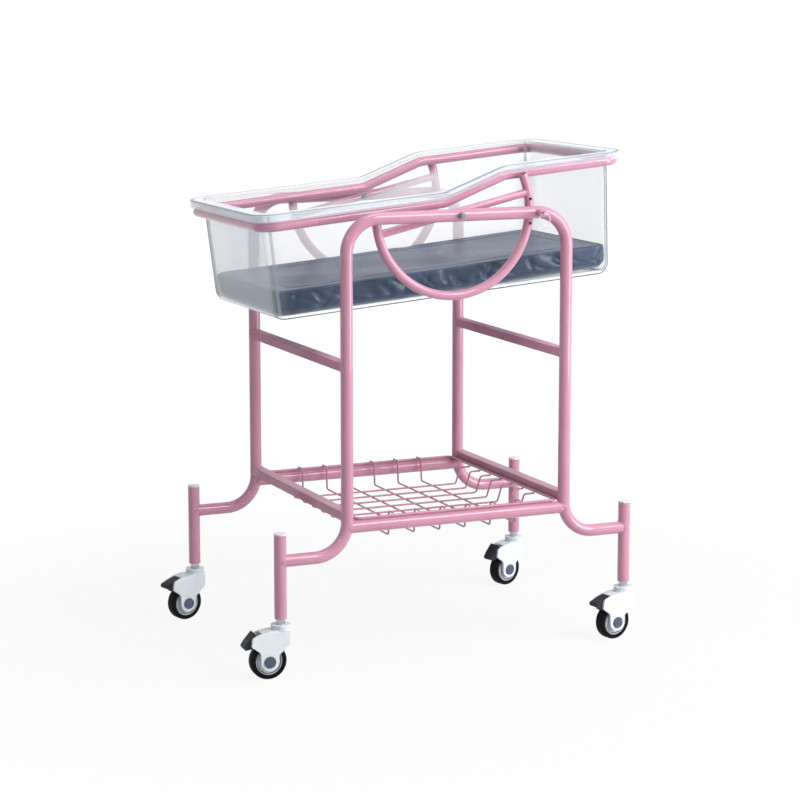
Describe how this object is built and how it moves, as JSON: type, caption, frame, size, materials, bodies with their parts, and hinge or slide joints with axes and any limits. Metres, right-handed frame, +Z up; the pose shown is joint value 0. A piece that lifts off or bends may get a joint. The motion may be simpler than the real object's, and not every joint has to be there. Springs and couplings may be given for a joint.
{
  "type": "hospital bassinet",
  "caption": "Hospital bassinet with a clear tub hung in a tilting tubular cradle, lock plunger, lift-out wire basket and a bent-tube trolley on braked swivel casters",
  "frame": {"origin": "on the floor under the middle of the overall bounding box", "axes": "+X from the foot end to the raised head end, +Y from the plunger side to the far side, +Z up"},
  "size_m": [0.8816, 0.585, 1.0307],
  "materials": {
    "pink_enamel": "gloss",
    "pink_enamel_wire": "gloss",
    "pink_enamel_cradle": "gloss",
    "zinc_steel": "bright zinc",
    "spring_wire": "drawn wire",
    "white_post_cap": "gloss",
    "socket_plastic": "matte",
    "caster_housing": "gloss",
    "caster_hub": "satin",
    "caster_tyre": "satin",
    "caster_pedal": "matte",
    "caster_axle_cap": "satin",
    "clear_tub": "clear, polished",
    "navy_vinyl": "satin coated cloth"
  },
  "bodies": {
    "trolley": {"side_frame_near": "pink_enamel", "side_frame_far": "pink_enamel", "caster_post_near_foot": "pink_enamel", "caster_post_far_foot": "pink_enamel", "caster_post_near_head": "pink_enamel", "caster_post_far_head": "pink_enamel", "upper_crossbar_foot": "pink_enamel", "upper_crossbar_head": "pink_enamel", "lower_crossbar_foot": "pink_enamel", "lower_crossbar_head": "pink_enamel", "basket_rail_near": "pink_enamel", "basket_rail_far": "pink_enamel", "post_caps": "white_post_cap", "caster_sockets": "socket_plastic", "caster_stems": "zinc_steel", "pivot_spacers": "pink_enamel", "pivot_bolts": "zinc_steel", "pivot_nuts": "zinc_steel", "plunger_boss": "pink_enamel"},
    "cradle": {"cradle_rim": "pink_enamel_cradle", "cradle_arc_near": "pink_enamel_cradle", "cradle_arc_far": "pink_enamel_cradle", "pivot_bar_near": "pink_enamel_cradle", "pivot_bar_far": "pink_enamel_cradle"},
    "tub": {"tub": "clear_tub"},
    "mattress": {"mattress": "navy_vinyl"},
    "basket": {"basket_rim": "pink_enamel_wire", "basket_cross_wires": "pink_enamel_wire", "basket_long_wires": "pink_enamel_wire"},
    "lock_pin": {"lock_pin": "zinc_steel", "lock_spring": "spring_wire"},
    "pull_ring": {"pull_ring": "spring_wire"},
    "caster_near_foot": {"housing_near_foot": "caster_housing", "axle_near_foot": "zinc_steel", "axle_caps_near_foot": "caster_axle_cap"},
    "wheel_near_foot": {"hub_near_foot": "caster_hub", "tyre_near_foot": "caster_tyre"},
    "brake_near_foot": {"pedal_near_foot": "caster_pedal"},
    "caster_far_foot": {"housing_far_foot": "caster_housing", "axle_far_foot": "zinc_steel", "axle_caps_far_foot": "caster_axle_cap"},
    "wheel_far_foot": {"hub_far_foot": "caster_hub", "tyre_far_foot": "caster_tyre"},
    "brake_far_foot": {"pedal_far_foot": "caster_pedal"},
    "caster_near_head": {"housing_near_head": "caster_housing", "axle_near_head": "zinc_steel", "axle_caps_near_head": "caster_axle_cap"},
    "wheel_near_head": {"hub_near_head": "caster_hub", "tyre_near_head": "caster_tyre"},
    "brake_near_head": {"pedal_near_head": "caster_pedal"},
    "caster_far_head": {"housing_far_head": "caster_housing", "axle_far_head": "zinc_steel", "axle_caps_far_head": "caster_axle_cap"},
    "wheel_far_head": {"hub_far_head": "caster_hub", "tyre_far_head": "caster_tyre"},
    "brake_far_head": {"pedal_far_head": "caster_pedal"}
  },
  "joints": [
    {"name": "cradle_tilt", "type": "hinge", "parent": "trolley", "child": "cradle", "pos_m": [0.0307, 0.00925, 0.914], "axis": [0, -1, 0], "range_deg": [-8.2, 8.2]},
    {"name": "tub_lift", "type": "slide", "parent": "cradle", "child": "tub", "axis": [-0.0819, 0, 0.9966], "range_m": [0, 0.28]},
    {"name": "mattress_lift", "type": "slide", "parent": "tub", "child": "mattress", "axis": [-0.0819, 0, 0.9966], "range_m": [0, 0.26]},
    {"name": "basket_lift", "type": "slide", "parent": "trolley", "child": "basket", "axis": [0, 0, 1], "range_m": [0, 0.12]},
    {"name": "lock_pin_push", "type": "slide", "parent": "trolley", "child": "lock_pin", "axis": [0, 1, 0], "range_m": [0, 0.005], "deforming": ["lock_spring"]},
    {"name": "ring_swing", "type": "hinge", "parent": "lock_pin", "child": "pull_ring", "pos_m": [0.2057, -0.28896, 0.914], "axis": [1, 0, 0], "range_deg": [-85, 15]},
    {"name": "swivel_near_foot", "type": "hinge", "parent": "trolley", "child": "caster_near_foot", "pos_m": [-0.3593, -0.25175, 0.11], "axis": [0, 0, 1], "continuous": true},
    {"name": "roll_near_foot", "type": "hinge", "parent": "caster_near_foot", "child": "wheel_near_foot", "pos_m": [-0.38723, -0.2498, 0.0375], "axis": [0.0698, 0.9976, 0], "continuous": true},
    {"name": "brake_near_foot_press", "type": "hinge", "parent": "caster_near_foot", "child": "brake_near_foot", "pos_m": [-0.41716, -0.2477, 0.074], "axis": [-0.0698, -0.9976, 0], "range_deg": [-32, 0]},
    {"name": "swivel_far_foot", "type": "hinge", "parent": "trolley", "child": "caster_far_foot", "pos_m": [-0.3593, 0.27025, 0.11], "axis": [0, 0, 1], "continuous": true},
    {"name": "roll_far_foot", "type": "hinge", "parent": "caster_far_foot", "child": "wheel_far_foot", "pos_m": [-0.38658, 0.26395, 0.0375], "axis": [-0.225, 0.9744, 0], "continuous": true},
    {"name": "brake_far_foot_press", "type": "hinge", "parent": "caster_far_foot", "child": "brake_far_foot", "pos_m": [-0.41581, 0.2572, 0.074], "axis": [0.225, -0.9744, 0], "range_deg": [0, 32]},
    {"name": "swivel_near_head", "type": "hinge", "parent": "trolley", "child": "caster_near_head", "pos_m": [0.4207, -0.25175, 0.11], "axis": [0, 0, 1], "continuous": true},
    {"name": "roll_near_head", "type": "hinge", "parent": "caster_near_head", "child": "wheel_near_head", "pos_m": [0.39313, -0.25661, 0.0375], "axis": [-0.1736, 0.9848, 0], "continuous": true},
    {"name": "brake_near_head_press", "type": "hinge", "parent": "caster_near_head", "child": "brake_near_head", "pos_m": [0.36358, -0.26182, 0.074], "axis": [0.1736, -0.9848, 0], "range_deg": [0, 32]},
    {"name": "swivel_far_head", "type": "hinge", "parent": "trolley", "child": "caster_far_head", "pos_m": [0.4207, 0.27025, 0.11], "axis": [0, 0, 1], "continuous": true},
    {"name": "roll_far_head", "type": "hinge", "parent": "caster_far_head", "child": "wheel_far_head", "pos_m": [0.39379, 0.26253, 0.0375], "axis": [-0.2756, 0.9613, 0], "continuous": true},
    {"name": "brake_far_head_press", "type": "hinge", "parent": "caster_far_head", "child": "brake_far_head", "pos_m": [0.36495, 0.25426, 0.074], "axis": [0.2756, -0.9613, 0], "range_deg": [-32, 0]}
  ]
}
